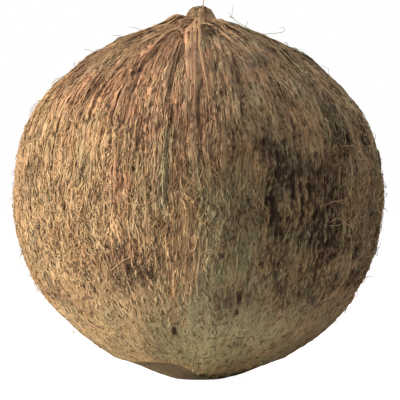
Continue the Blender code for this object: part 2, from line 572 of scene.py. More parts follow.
@dataclass(frozen=True)
class CoirGrain:
    """Dry coir, the coconut's husk fibre: dull brown fibres side by side, with dark gaps in them that
    carry painted shade.

    Folds are one fibre's width round the nut, in radians. Rises are its length.

    Attributes:
        tan: Clean fibres.
        red: Fibres from near the outer husk.
        green: Greyed fibres, where dust and damp have been.
        dark: Old matted fibres, and painted shade where the tints darken slits, pits, crevices and the
            side turned from the light.
        pit: The gaps: the dark mat beneath, with painted shade in them.
        fine: A single fibre.
        coarse: A lock of fibres, which also shows where the nut narrows to the knot.
        gap: A gap.
        narrows: How far from the axis only locks show, and where only single fibres do.
        sway: How far the fibres wander from side to side.
        pale: How much darker and lighter than the coir's colour single fibres are.
        pits: How strong the gaps are.
    """

    tan: str = "#B6936B"
    red: str = "#AC7E5E"
    green: str = "#9D9370"
    dark: str = "#5E4B39"
    pit: str = "#33221A"
    fine: tuple[float, float] = (0.0075, 2.4 * MM)
    coarse: tuple[float, float] = (0.022, 6.0 * MM)
    gap: tuple[float, float] = (0.0125, 1.5 * MM)
    narrows: tuple[float, float] = mm(14, 36)
    sway: float = 2.4 * MM
    pale: tuple[float, float] = (0.83, 1.15)
    pits: float = 0.58

    def build(self, tree: Tree) -> tuple[Socket, Socket]:
        """Adds the grain's nodes.

        Args:
            tree: The material's node tree.

        Returns:
            The colour's socket, and the relief's, from 0 to 1.
        """
        place = add_node(tree, "ShaderNodeTexCoord").outputs["Object"]
        links = {"Vector": place, "Scale": 0.5 / self.sway, "Detail": 1.0}
        waves = add_node(tree, "ShaderNodeTexNoise", links).outputs["Color"]
        swayed = calculate_vector(tree, "MULTIPLY_ADD", waves, (self.sway, self.sway, 0.0), place)
        level = calculate_vector(tree, "MULTIPLY", swayed, (1.0, 1.0, 0.0))
        outward = calculate_vector(tree, "NORMALIZE", level)
        fine = self._streaks(tree, outward, swayed, self.fine, 0.0)
        coarse = self._streaks(tree, outward, swayed, self.coarse, 30.0)
        gap = self._streaks(tree, outward, swayed, self.gap, 60.0)

        radius = add_node(tree, "ShaderNodeVectorMath", {0: level}, operation="LENGTH").outputs["Value"]
        links = {0: ranged(tree, radius, 0.0, 1.0, *self.narrows), 2: coarse["Fac"], 3: fine["Fac"]}
        fibre = add_node(tree, "ShaderNodeMix", links).outputs[0]

        tints = stored(tree, "tints", "Vector")
        tints = calculate_vector(tree, "MULTIPLY_ADD", coarse["Color"], (0.9, 0.9, 0.7), tints)
        tints = calculate_vector(tree, "MULTIPLY_ADD", fine["Color"], (0.5, 0.5, 0.3), tints)
        tints = calculate_vector(tree, "SUBTRACT", tints, (0.70, 0.70, 0.50))
        parts = add_node(tree, "ShaderNodeSeparateXYZ", {"Vector": tints}).outputs
        colour = linear(self.tan)
        for part, hex_colour in zip(parts, (self.red, self.green, self.dark)):
            colour = mixed(tree, part, colour, linear(hex_colour))
        colour = lit(tree, colour, ranged(tree, fibre, *self.pale, 0.3, 0.7))

        # Painted shade in the gaps between fibres, over the dark mat, more where the tints are dark.
        dense = calculate(tree, "MULTIPLY_ADD", parts[2], 0.32, gap["Fac"])
        pit = ranged(tree, dense, 0.0, self.pits, 0.60, 0.69)
        relief = calculate(tree, "MULTIPLY_ADD", pit, -0.6, fibre)
        return mixed(tree, pit, colour, linear(self.pit)), relief

    @staticmethod
    def _streaks(
        tree: Tree, outward: Socket, place: Socket, size: tuple[float, float], offset: float
    ) -> bpy.types.NodeOutputs:
        """Adds noise that is drawn out down the nut and meets itself behind it.

        Args:
            tree: The material's node tree.
            outward: The level direction away from the axis.
            place: The point's place on the nut.
            size: The fold and the rise of one streak.
            offset: Moves the noise away from the other streaks'.

        Returns:
            The noise node's sockets.
        """
        fold, rise = size
        ring = calculate_vector(tree, "MULTIPLY_ADD", outward, (1.0 / fold,) * 3, (offset,) * 3)
        along = calculate_vector(tree, "MULTIPLY_ADD", place, (0.0, 0.0, 1.0 / rise), ring)
        links = {"Vector": along, "Scale": 1.0, "Detail": 2.0, "Roughness": 0.55}
        return add_node(tree, "ShaderNodeTexNoise", links).outputs


@dataclass(frozen=True)
class StrandFinish:
    """Separate strands of coir: dull, a little smoother than the mat, each of its own shade.

    Attributes:
        grain: The coir's colours and grain.
        roughness: A dry plant fibre is rough, with dust in its gaps, and smoother on its ridges.
        bump: How strong the grain's bumps are, and how deep.
        shine: How much it reflects head on.
    """

    grain: CoirGrain = CoirGrain()
    roughness: tuple[float, float] = (0.88, 0.64)
    bump: tuple[float, float] = (0.7, 0.12 * MM)
    shine: float = 0.3

    def material(self, name: str) -> bpy.types.Material:
        """Builds the node tree."""
        material, tree = empty_material(name)
        colour, relief = self.grain.build(tree)
        colour = lit(tree, colour, stored(tree, "shade"))
        add_surface(tree, colour, ranged(tree, relief, *self.roughness), relief, self.bump, self.shine)
        return material


@dataclass(frozen=True)
class CoatFinish:
    """The matted coir under the strands, and the bare shell where the coat has gone, with painted shade
    in the mat's recesses and on the shell under the coat's edge.

    Attributes:
        grain: The coir's colours and grain.
        shell: Bare shell, which is hard and dark.
        roughness: The mat is rough all through. The hard shell is a little smoother.
        speck: Brown specks, where pith is left between the fibres.
        specks: How strong they are.
        speck_size: How far apart they lie.
        fluff: The size of one tuft of fluff.
        bump: How strong the grain's bumps are, and how deep.
        shine: How much it reflects head on.
    """

    grain: CoirGrain = CoirGrain()
    shell: str = "#7C6A52"
    roughness: tuple[float, float] = (0.92, 0.66)
    speck: str = "#6A4A36"
    specks: float = 0.75
    speck_size: float = 1.9 * MM
    fluff: float = 1.1 * MM
    bump: tuple[float, float] = (0.9, 0.3 * MM)
    shine: float = 0.25

    def material(self, name: str) -> bpy.types.Material:
        """Builds the node tree."""
        material, tree = empty_material(name)
        bare, own = stored(tree, "bare"), stored(tree, "shade")
        colour, relief = self.grain.build(tree)
        colour, relief = self._felt(tree, lit(tree, colour, own), relief)
        # Painted shade in the recesses: the stored depth draws the mat towards the gaps' dark colour.
        coat = mixed(tree, stored(tree, "depth"), colour, linear(self.grain.pit))
        # The shell takes the stored shade, which darkens it under the coat's edge as painted shade.
        value = calculate(tree, "MULTIPLY", ranged(tree, relief, 0.5, 1.2), own)
        colour = mixed(tree, bare, coat, lit(tree, linear(self.shell), value))
        add_surface(tree, colour, ranged(tree, bare, *self.roughness), relief, self.bump, self.shine)
        return material

    def _felt(self, tree: Tree, colour: Socket, relief: Socket) -> tuple[Socket, Socket]:
        """Lays matted fluff over the grain, with soft brown specks in it.

        Args:
            tree: The material's node tree.
            colour: The grain's colour.
            relief: The grain's relief.

        Returns:
            The colour's socket, and the relief's.
        """
        place = add_node(tree, "ShaderNodeTexCoord").outputs["Object"]
        long = calculate_vector(tree, "MULTIPLY", place, (1.0, 1.0, 0.55))
        links = {"Vector": long, "Scale": 1.0 / self.fluff, "Detail": 4.0, "Distortion": 1.2}
        fluff = add_node(tree, "ShaderNodeTexNoise", links).outputs["Fac"]
        links = {"Vector": long, "Scale": 1.0 / self.speck_size, "Detail": 2.0, "Distortion": 0.6}
        speck = add_node(tree, "ShaderNodeTexNoise", links).outputs["Fac"]
        fluffy = lit(tree, colour, ranged(tree, fluff, 0.78, 1.22, 0.3, 0.7))
        spots = ranged(tree, speck, 0.0, self.specks, 0.56, 0.68)
        relief = calculate(tree, "MULTIPLY_ADD", fluff, 1.4, relief)
        return mixed(tree, spots, fluffy, linear(self.speck)), relief


# --------------------------------------------------------------------------------------------
# The coat
# --------------------------------------------------------------------------------------------


@dataclass
class Surface:
    """The finished coat as a grid of points, on which strands are laid.

    Attributes:
        places: A row for each ring from the crown down, a column for each step round the nut.
        normals: The outward direction at each of them.
        centre: The height of the point that the rings are round about.
    """

    places: np.ndarray
    normals: np.ndarray
    centre: float

    def at(self, turn: np.ndarray, fall: np.ndarray) -> tuple[np.ndarray, np.ndarray]:
        """Finds points on the coat.

        Args:
            turn: Angles round the nut's axis.
            fall: Angles down from the crown, seen from the nut's centre.

        Returns:
            The points, and the outward direction at each.
        """
        rings, columns = self.places.shape[0] - 1, self.places.shape[1]
        column = (turn / TAU % 1.0) * columns
        ring = np.clip(fall / math.pi, 0.0, 1.0 - 1e-9) * rings
        left, top = np.floor(column).astype(int), np.floor(ring).astype(int)
        across, down = (column - left)[..., None], (ring - top)[..., None]
        left %= columns
        right = (left + 1) % columns
        found = []
        for grid in (self.places, self.normals):
            upper = grid[top, left] * (1.0 - across) + grid[top, right] * across
            lower = grid[top + 1, left] * (1.0 - across) + grid[top + 1, right] * across
            found.append(upper * (1.0 - down) + lower * down)
        return found[0], unit(found[1])

    def facing(self, x: np.ndarray, height: np.ndarray) -> tuple[np.ndarray, np.ndarray]:
        """Finds the points of the front half of the coat that lie behind these places.

        Args:
            x: How far to the right of the nut's axis they are.
            height: Their heights.

        Returns:
            The angles round the nut and the angles down from the crown.
        """
        up = height - self.centre
        reach = np.full(np.shape(x), self.places[:, :, 0].max())
        for _ in range(5):
            y = -np.sqrt(np.maximum(reach**2 - x**2 - up**2, (1 * MM) ** 2))
            turn, fall = np.arctan2(y, x), np.arctan2(np.hypot(x, y), up)
            found, _ = self.at(turn, fall)
            reach = np.linalg.norm(found - np.array([0.0, 0.0, self.centre]), axis=-1)
        return turn, fall

    def fall_at(self, radius: np.ndarray) -> np.ndarray:
        """How far down from the crown the upper half of the coat is this far from the axis."""
        half = self.places.shape[0] // 2
        radii = np.hypot(self.places[:half, :, 0], self.places[:half, :, 1]).mean(1)
        falls = np.arange(half) * math.pi / (self.places.shape[0] - 1)
        return np.interp(radius, radii, falls)


@dataclass
class Coat:
    """The skin of matted coir over the shell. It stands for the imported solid.

    Attributes:
        growth: How the coat grew.
        columns: Steps round the nut.
        rings: Steps from the crown to the flat spot.
        neck: Where the knot starts. The skin ends there in a small level top.
        start: How far from the nut's centre the skin starts before it is drawn onto the solid.
        sink: How far the skin lies under the solid where strands cover it.
        crown_sink: How much further it does so where they are gathered and lie thicker.
        groove_depth: How deep the grooves between the gathered bundles are.
        slit_depth: How deep the slits and hollows in the mat are.
        mat_depth: How far the mat between the strands rises and falls.
        lip: How far the coat's edge stands up round the bare patch.
        bare_depth: How far the bare shell lies under the solid's own slope there.
    """

    growth: Growth
    columns: int = 448
    rings: int = 220
    neck: float = 116.6 * MM
    start: float = 70 * MM
    sink: float = 0.55 * MM
    crown_sink: float = 0.55 * MM
    groove_depth: float = 0.8 * MM
    slit_depth: float = 0.9 * MM
    mat_depth: float = 0.44 * MM
    lip: float = 0.2 * MM
    bare_depth: float = 0.15 * MM
    _lump: Ripple = field(default_factory=lambda: Ripple(21))

    def build(self, solid: bpy.types.Object) -> tuple[bpy.types.Object, Surface]:
        """Draws a fine ball onto the solid and gives it the coat's relief.

        Args:
            solid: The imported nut.

        Returns:
            The coat, and its surface as a grid.
        """
        target = self._target(solid)
        coat = self._ball()
        wrap = coat.modifiers.new("wrap", "SHRINKWRAP")
        wrap.target = target
        wrap.wrap_method = "PROJECT"
        wrap.use_negative_direction = True
        wrap.use_positive_direction = False
        bpy.ops.object.modifier_apply(modifier=wrap.name)
        even = coat.modifiers.new("even", "SMOOTH")
        even.factor = 0.5
        even.iterations = 5
        bpy.ops.object.modifier_apply(modifier=even.name)
        bpy.data.objects.remove(target)
        self._add_relief(coat.data)
        bpy.ops.object.shade_smooth()
        return coat, self._grid(coat.data)

    def _target(self, solid: bpy.types.Object) -> bpy.types.Object:
        """A copy of the solid, merged and cut level at the neck, to draw the skin onto."""
        target = solid.copy()
        target.data = solid.data.copy()
        target.parent = None
        bpy.context.scene.collection.objects.link(target)
        select_only(target)
        bpy.ops.object.mode_set(mode="EDIT")
        bpy.ops.mesh.select_all(action="SELECT")
        bpy.ops.mesh.remove_doubles(threshold=SOLID_MERGE)
        bpy.ops.mesh.select_all(action="SELECT")
        bpy.ops.mesh.bisect(
            plane_co=(0.0, 0.0, self.neck), plane_no=(0.0, 0.0, 1.0), use_fill=True, clear_outer=True
        )
        bpy.ops.object.mode_set(mode="OBJECT")
        return target

    def _ball(self) -> bpy.types.Object:
        """A grid rolled up into a ball round the nut. Its map stays flat: round by down."""
        start_piece()
        bpy.ops.mesh.primitive_grid_add(x_subdivisions=self.columns, y_subdivisions=self.rings, size=2.0)
        ball = bpy.context.object
        ball.name = ball.data.name = "coat"
        ball.data.uv_layers[0].name = BAKE_MAP
        flat = read_points(ball.data)
        turn, fall = flat[:, 0] * math.pi, (1.0 - flat[:, 1]) / 2.0 * math.pi
        out = [np.sin(fall) * np.cos(turn), np.sin(fall) * np.sin(turn), np.cos(fall)]
        middle = np.array([0.0, 0.0, self.growth.centre])
        write_points(ball.data, middle + self.start * np.stack(out, axis=-1))
        bpy.ops.object.mode_set(mode="EDIT")
        bpy.ops.mesh.remove_doubles(threshold=BALL_MERGE)
        bpy.ops.object.mode_set(mode="OBJECT")
        return ball

    def _add_relief(self, mesh: bpy.types.Mesh) -> None:
        """Moves the skin in and out, and stores what the finish reads."""
        points = read_points(mesh)
        turn, radius = polar(points)
        height = points[:, 2]
        edge = self.growth.coat_edge(turn)
        low = height < self.growth.centre
        bare = np.where(low, 1.0 - smooth_step(radius, edge - 1.2 * MM, edge), 0.0)
        lip = np.where(low, bell(radius - edge, 1.4 * MM, 1.3 * MM), 0.0)
        spot_rim = np.where(low, smooth_step(radius, 8 * MM, 12 * MM), 1.0)
        covered = smooth_step(height, 16 * MM, 40 * MM)

        label = turn - self.growth.swing(turn, height)
        groove = self.growth.grooves(label, height)
        tints = self.growth.tints(points)
        dark = smooth_step(tints[:, Tint.DARK.value], 0.35, 0.9)
        mat = self._lump.at(round_the_nut(label, height, 0.045, 5 * MM))
        wrinkle = self._lump.at(round_the_nut(label, height, 0.032, 3.4 * MM) + 50.0)
        fine = self._lump.at(points / (2.2 * MM))
        lump = self._lump.at(points / (8 * MM))
        gathered = smooth_step(height, 84 * MM, 106 * MM)
        relief = -self.sink * covered - self.crown_sink * gathered
        relief -= self.groove_depth * groove + self.slit_depth * dark * covered
        rough = (0.6 * mat + 0.8 * wrinkle) * (0.25 + 0.75 * covered) + 0.35 * fine + 0.6 * lump
        relief += self.mat_depth * rough * (1.0 - 0.6 * bare)
        relief += self.lip * lip - self.bare_depth * bare + self.growth.swell(points)
        out = points - np.array([0.0, 0.0, self.growth.centre])
        points += unit(out) * (relief * spot_rim)[:, None]
        points[:, 2] = np.maximum(points[:, 2], 0.0)
        write_points(mesh, points)

        # Painted shade: the mat is drawn towards the gaps' dark colour in the grooves, the dark slits and
        # hollows, and a little everywhere under the strands.
        hollow = smooth_step(-mat - 0.5 * fine, 0.1, 0.9) * covered
        depth = np.maximum(np.maximum(0.85 * groove, 0.8 * dark), 0.12 * covered + 0.28 * hollow)
        write_values(mesh, "depth", np.clip(depth * (1.0 - bare), 0.0, 0.95))
        write_values(mesh, "bare", bare)
        # Painted shade on the bare shell: a shadow under the coat's edge, and darker where the tints are
        # dark.
        rim = bell(radius - edge, -2.4 * MM, 1.3 * MM)
        painted_shade_on_shell = np.maximum(0.4 * rim, 0.6 * np.clip(tints[:, Tint.DARK.value], 0.0, 1.0))
        write_values(mesh, "shade", self.growth.lightness(points) * (1.0 - bare * painted_shade_on_shell))
        write_values(mesh, "tints", tints)

    def _grid(self, mesh: bpy.types.Mesh) -> Surface:
        """Sorts the skin's vertices into a grid."""
        points = read_points(mesh)
        normals = np.empty(len(points) * 3, np.float32)
        mesh.vertex_normals.foreach_get("vector", normals)
        normals = normals.reshape(-1, 3)
        out = unit(points - np.array([0.0, 0.0, self.growth.centre]))
        fall = np.arccos(np.clip(out[:, 2], -1.0, 1.0))
        ring = np.rint(fall / math.pi * self.rings).astype(int)
        column = np.rint(np.arctan2(out[:, 1], out[:, 0]) / TAU * self.columns).astype(int) % self.columns
        places = np.zeros((self.rings + 1, self.columns, 3))
        outward = np.zeros_like(places)
        for row in (0, self.rings):
            pole = np.argmin(np.abs(fall - row * math.pi / self.rings))
            places[row], outward[row] = points[pole], normals[pole]
        inner = (ring > 0) & (ring < self.rings)
        places[ring[inner], column[inner]] = points[inner]
        outward[ring[inner], column[inner]] = normals[inner]
        return Surface(places, outward, self.growth.centre)


# --------------------------------------------------------------------------------------------
# Strands
# --------------------------------------------------------------------------------------------


class Section(Enum):
    """Cross-sections of a strand, as points across and up, going round it."""

    FIBRE = ((1.0, -0.5), (0.0, 1.0), (-1.0, -0.5))
    STRAP = (
        (1.0, -0.6), (0.9, 0.3), (0.68, 0.15), (0.42, 0.95), (0.14, 0.45),
        (-0.16, 1.0), (-0.44, 0.4), (-0.72, 0.75), (-1.0, -0.2), (-0.9, -0.6),
    )


@dataclass
class Bundle:
    """Many strands at once, as arrays with a row for each strand and a column for each point.

    Attributes:
        centres: The points that the strands run through.
        outward: The direction away from the nut at each of them.
        widths: Half the width there.
        heights: Half the thickness there.
        shades: How light the strand is there, 1 being the coir's own colour.
        hues: How much redder, greener and darker than its place on the coat each strand is.
    """

    centres: np.ndarray
    outward: np.ndarray
    widths: np.ndarray
    heights: np.ndarray
    shades: np.ndarray
    hues: np.ndarray

    def mesh(self, name: str, section: Section, growth: Growth) -> bpy.types.Object:
        """Makes one object of all the strands, each a closed tube.

        No operator lays thousands of strands along a coat's grain, so they are made point by point.

        Args:
            name: The piece's name.
            section: The strands' cross-section.
            growth: What tints them.

        Returns:
            The new object, with its map laid out strand by strand.
        """
        strands, points, _ = self.centres.shape
        around = np.array(section.value)
        sides = len(around)
        along = unit(np.gradient(self.centres, axis=1))
        across = unit(np.cross(self.outward, along))
        up = np.cross(along, across)
        places = (
            self.centres[:, :, None]
            + across[:, :, None] * (self.widths[:, :, None] * around[:, 0])[..., None]
            + up[:, :, None] * (self.heights[:, :, None] * around[:, 1])[..., None]
        )
        first = (np.arange(strands) * points * sides)[:, None, None]
        row = first + (np.arange(points - 1) * sides)[None, :, None]
        side = np.arange(sides)[None, None, :]
        other = (side + 1) % sides
        quads = np.stack(
            [row + side, row + other, row + sides + other, row + sides + side], axis=-1
        ).reshape(-1, 4)
        start_caps = (first[:, 0] + np.arange(sides)[::-1]).reshape(-1)
        end_caps = (first[:, 0] + (points - 1) * sides + np.arange(sides)).reshape(-1)
        corners = np.concatenate([quads.ravel(), start_caps, end_caps])
        sizes = np.concatenate([np.full(len(quads), 4), np.full(strands * 2, sides)])

        mesh = bpy.data.meshes.new(name)
        mesh.vertices.add(strands * points * sides)
        mesh.vertices.foreach_set("co", places.astype(np.float32).ravel())
        mesh.loops.add(len(corners))
        mesh.loops.foreach_set("vertex_index", corners.astype(np.int32))
        mesh.polygons.add(len(sizes))
        mesh.polygons.foreach_set("loop_start", (np.cumsum(sizes) - sizes).astype(np.int32))
        mesh.update(calc_edges=True)
        mesh.validate()
        mesh.shade_smooth()
        shades = self.shades * growth.lightness(self.centres)
        write_values(mesh, "shade", np.repeat(shades.ravel(), sides))
        tints = np.clip(growth.tints(self.centres) + self.hues[:, None], 0.0, 1.0)
        write_values(mesh, "tints", np.repeat(tints.reshape(-1, 3), sides, axis=0))
        self._lay_map(mesh, strands, points, sides)
        piece = bpy.data.objects.new(name, mesh)
        bpy.context.scene.collection.objects.link(piece)
        return piece

    @staticmethod
    def _lay_map(mesh: bpy.types.Mesh, strands: int, points: int, sides: int) -> None:
        """Gives each strand a cell of its own on the map, its sides unrolled across the cell."""
        grid = math.ceil(math.sqrt(strands))
        cell = np.stack([np.arange(strands) % grid, np.arange(strands) // grid], axis=-1)
        side = np.arange(sides)
        row = np.arange(points - 1)
        top = np.broadcast_to(row[:, None], (points - 1, sides))
        left = np.broadcast_to(side, top.shape)
        u = np.stack([left, left + 1, left + 1, left], axis=-1) / sides
        v = np.stack([top, top, top + 1, top + 1], axis=-1) / (points - 1)
        quads = np.stack([u, v], axis=-1)[None] * (1.0 - 2.0 * MAP_MARGIN) + MAP_MARGIN
        quads = (quads + cell[:, None, None, None]).reshape(-1, 2)
        turn = TAU * side / sides
        ring = np.stack([np.cos(turn), np.sin(turn)], axis=-1) * MAP_CAP
        foot, tip = np.array([0.5, MAP_MARGIN / 2.0]), np.array([0.5, 1.0 - MAP_MARGIN / 2.0])
        start_caps = (ring[::-1][None] + foot + cell[:, None]).reshape(-1, 2)
        end_caps = (ring[None] + tip + cell[:, None]).reshape(-1, 2)
        flat = np.concatenate([quads, start_caps, end_caps]) / grid
        layer = mesh.uv_layers.new(name=BAKE_MAP)
        layer.data.foreach_set("uv", flat.astype(np.float32).ravel())


@dataclass(frozen=True)
class StrandKind:
    """How one kind of strand grows. Pairs are the least and the most.

    Attributes:
        name: The name of the piece that holds them.
        count: How many there are.
        seed: What their places are drawn from.
        band: The heights between which they start.
        length: How long they are.
        width: How wide they are.
        flatness: Their thickness as a share of their width.
        lift: How high their middles lie over the coat.
        points: Points along each.
        section: Their cross-section.
        tilt: How far they lean from the grain, in radians.
        bend: How far their heading swings along their length, in radians.
        waves: How often it swings.
        weave: How far they dip in and out of the mat.
        shade: How light they are.
        keep_clear: True if they leave the grooves and the hollows open.
        straight_only: True if they lie only where the grain is straight.
        sparse_from: Below this height there are ever fewer of them, down to sparse_to.
        sparse_to: Below this height there are none.
    """

    name: str
    count: int
    seed: int
    band: tuple[float, float]
    length: tuple[float, float]
    width: tuple[float, float]
    flatness: float
    lift: tuple[float, float]
    points: int = 10
    section: Section = Section.FIBRE
    tilt: float = 0.1
    bend: float = 0.15
    waves: float = 1.0
    weave: float = 0.2 * MM
    shade: tuple[float, float] = (0.89, 1.12)
    keep_clear: bool = True
    straight_only: bool = False
    sparse_from: float = 46 * MM
    sparse_to: float = 9 * MM


@dataclass
class StrandLayer:
    """Lays one kind of strand over the coat.

    Attributes:
        kind: The kind.
        growth: How the coat grew.
        surface: The coat.
        spare: How many times too many strands are drawn, as some land in a groove or a hollow.
        pitch: How far apart along a strand it dips into the mat.
        narrow: How far from the axis strands are at their full width. Nearer the knot they narrow.
    """

    kind: StrandKind
    growth: Growth
    surface: Surface
    spare: int = 3
    pitch: float = 4.5 * MM
    narrow: float = 30 * MM

    def build(self) -> bpy.types.Object:
        """Draws where the strands start, lays them along the grain and makes one piece of them."""
        kind = self.kind
        draw = np.random.default_rng(kind.seed)
        turn, fall, length = self._paths(draw)
        count = len(turn)
        places, outward = self.surface.at(turn, fall)

        share = np.linspace(0.0, 1.0, kind.points)[None]
        arch = np.sin(math.pi * share) ** 0.5
        dips = TAU * length[:, None] * share / self.pitch + draw.uniform(0.0, TAU, (count, 1))
        lift = draw.uniform(*kind.lift, (count, 1)) * arch - 0.2 * MM * (1.0 - arch)
        lift += kind.weave * np.sin(dips) * arch
        radius = np.hypot(places[..., 0], places[..., 1])
        taper = np.clip(radius / self.narrow, 0.3, 1.0)
        half = draw.uniform(*kind.width, (count, 1)) / 2.0 * (0.3 + 0.7 * arch) * taper
        half = half * (1.0 + 0.15 * draw.normal(size=half.shape))
        shade = draw.uniform(*kind.shade, (count, 1)) * (1.0 + 0.08 * draw.normal(size=half.shape))
        hues = draw.normal(0.0, 0.16, (count, 3))
        roll = draw.normal(0.0, 0.3, (count, 1, 1))
        along = unit(np.gradient(places, axis=1))
        leaning = unit(outward + roll * np.cross(outward, along))
        centres = places + outward * lift[..., None]
        centres[..., 2] = np.maximum(centres[..., 2], 0.6 * MM)
        bundle = Bundle(centres, leaning, half, half * kind.flatness, shade, hues)
        return bundle.mesh(kind.name, kind.section, self.growth)

    def _paths(self, draw: np.random.Generator) -> tuple[np.ndarray, np.ndarray, np.ndarray]:
        """Lays more strands than are wanted and keeps those that leave the grooves open.

        Args:
            draw: Where the random numbers come from.

        Returns:
            The angles round the nut and the angles down from the crown of each strand's points,
            and the strands' lengths.
        """
        kind, growth = self.kind, self.growth
        count = kind.count * self.spare
        label = draw.uniform(0.0, TAU, count)
        height = draw.uniform(*kind.band, count)
        fall = np.arccos(np.clip((height - growth.centre) / growth.girth, -1.0, 1.0))
        length = draw.uniform(*kind.length, count)
        straight = growth.straightness(label)
        loose = (1.0 - 0.65 * straight) * growth.swirl(label, height)
        lean = kind.tilt * growth.heading(label, height) * loose
        heading = draw.normal(0.0, kind.tilt, count) * loose + lean
        swing = draw.normal(0.0, kind.bend, (count, 2)) * loose[:, None]
        phase = draw.uniform(0.0, TAU, (count, 2))
        pace = kind.waves * draw.uniform(0.6, 1.4, (count, 2))
        step = length / (kind.points - 1)
        labels, falls = [label], [fall]
        for place in range(1, kind.points):
            share = place / (kind.points - 1)
            angle = heading + (swing * np.sin(TAU * pace * share + phase)).sum(-1)
            fall = fall + np.cos(angle) * step / growth.girth
            label = label + np.sin(angle) * step / (growth.girth * np.maximum(np.sin(fall), 0.12))
            labels.append(label)
            falls.append(fall)
        label, fall = np.stack(labels, 1), np.stack(falls, 1)
        height = growth.centre + growth.girth * np.cos(fall)
        stays = np.ones(count, bool)
        if kind.sparse_from > kind.sparse_to:
            lowest = height.min(1)
            stays = smooth_step(lowest, kind.sparse_to, kind.sparse_from) > draw.uniform(0.0, 1.0, count)
        if kind.straight_only:
            stays &= straight > draw.uniform(0.1, 1.0, count)
        if kind.keep_clear:
            worst = growth.grooves(label[:, ::3], height[:, ::3]).max(1)
            stays &= worst < draw.uniform(0.18, 0.7, count)
        label, fall, length = (rows[stays][: kind.count] for rows in (label, fall, length))
        height = growth.centre + growth.girth * np.cos(fall)
        turn = label + growth.swing(label, height)
        if kind.keep_clear:
            middle = kind.points // 2
            places, _ = self.surface.at(turn[:, middle], fall[:, middle])
            dark = growth.tints(places)[:, Tint.DARK.value]
            stays = dark < draw.uniform(0.35, 1.1, len(dark))
            turn, fall, length = (rows[stays] for rows in (turn, fall, length))
        return turn, fall, length


@dataclass
class StrandCover:
    """All the layers of strands, from the flat ones under the mat to the loose hairs on top."""

    growth: Growth
    surface: Surface
    finish: StrandFinish = StrandFinish()
    kinds: tuple[StrandKind, ...] = (
        StrandKind(
            "crown_straps", 720, 101, mm(76, 116.5), mm(10, 22), mm(0.8, 1.9),
            0.2, mm(0.0, 0.3), points=14, section=Section.STRAP, tilt=0.05, bend=0.09,
            weave=0.16 * MM,
        ),
        StrandKind(
            "crown_fibres", 3400, 102, mm(72, 117), mm(8, 22), mm(0.25, 0.6),
            0.5, mm(0.05, 0.3), tilt=0.05, bend=0.07, weave=0.15 * MM,
        ),
        StrandKind(
            "long_straps", 480, 108, mm(44, 98), mm(10, 24), mm(0.5, 1.2),
            0.16, mm(0.05, 0.2), points=14, section=Section.STRAP, tilt=0.05, bend=0.08,
            weave=0.1 * MM, straight_only=True, sparse_from=30 * MM,
        ),
        StrandKind(
            "mat_low", 3400, 103, mm(22, 104), mm(7, 16), mm(0.6, 1.3),
            0.16, mm(-0.05, 0.08), tilt=0.16, bend=0.42, waves=1.5, weave=0.22 * MM,
        ),
        StrandKind(
            "mat_middle", 3400, 104, mm(22, 100), mm(5, 13), mm(0.3, 0.75),
            0.22, mm(-0.05, 0.12), tilt=0.28, bend=0.65, waves=1.6, weave=0.25 * MM,
        ),
        StrandKind(
            "mat_high", 3400, 105, mm(22, 96), mm(4, 12), mm(0.25, 0.5),
            0.3, mm(0.0, 0.15), tilt=0.42, bend=0.95, waves=1.8, weave=0.25 * MM,
        ),
        StrandKind(
            "felt_hairs", 3400, 106, mm(10, 56), mm(2, 6), mm(0.22, 0.5),
            0.42, mm(-0.05, 0.06), tilt=0.6, bend=0.7, weave=0.12 * MM, shade=(0.92, 1.15),
            sparse_from=0.0,
        ),
        StrandKind(
            "curls", 1400, 107, mm(26, 92), mm(5, 12), mm(0.16, 0.3),
            1.0, mm(0.35, 0.8), points=14, tilt=0.7, bend=1.0, waves=1.2, weave=0.15 * MM,
            shade=(1.0, 1.35), keep_clear=False,
        ),
        StrandKind(
            "strays", 520, 109, mm(16, 110), mm(3, 8), mm(0.12, 0.2),
            1.0, mm(0.7, 1.7), points=14, tilt=1.1, bend=1.2, waves=0.8, weave=0.2 * MM,
            shade=(0.8, 1.25), keep_clear=False, sparse_from=0.0,
        ),
    )

    def build(self) -> list[bpy.types.Object]:
        """Lays every kind of strand."""
        material = self.finish.material("dry_coir_strands")
        pieces = []
        for kind in self.kinds:
            piece = StrandLayer(kind, self.growth, self.surface).build()
            piece.data.materials.append(material)
            pieces.append(piece)
        return pieces


# --------------------------------------------------------------------------------------------
# The knot and the loose hairs
# --------------------------------------------------------------------------------------------


@dataclass(frozen=True)
class FrontStrap:
    """A broad strap at the front that runs down from the knot.

    Attributes:
        width: How wide it is, in millimetres.
        shade: How light it is.
        path: The points that it runs through, as x and height, in millimetres.
    """

    width: float
    shade: float
    path: tuple[tuple[float, float], ...]


